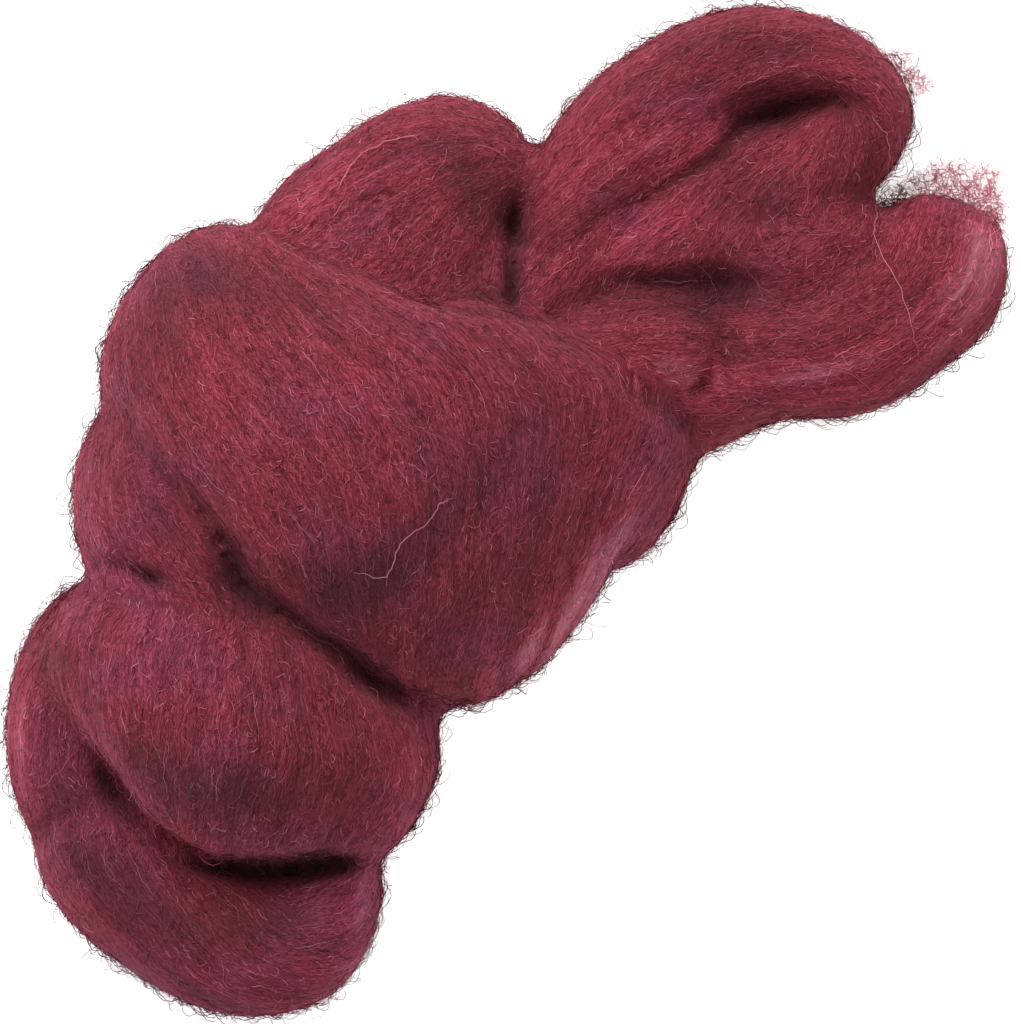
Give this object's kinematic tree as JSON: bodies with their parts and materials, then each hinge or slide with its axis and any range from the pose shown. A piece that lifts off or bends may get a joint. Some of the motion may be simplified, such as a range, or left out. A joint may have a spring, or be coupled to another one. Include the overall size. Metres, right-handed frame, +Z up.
{
  "type": "wool roving hank",
  "caption": "Loose hank of combed burgundy wool roving, folded and twisted on itself, with a looped end and a frayed loose end, lying flat.",
  "frame": {"origin": "on the surface that the hank lies on, under the middle of its bounding box", "axes": "+X along the hank towards the end with the loop and the loose end, +Y across it towards the side with the short back fold, +Z up"},
  "size_m": [0.2985, 0.1601, 0.0872],
  "materials": {
    "burgundy_wool": "matte combed wool, fine soft fibres with a light halo"
  },
  "bodies": {
    "root": {"roving_hank": "burgundy_wool"}
  },
  "joints": []
}
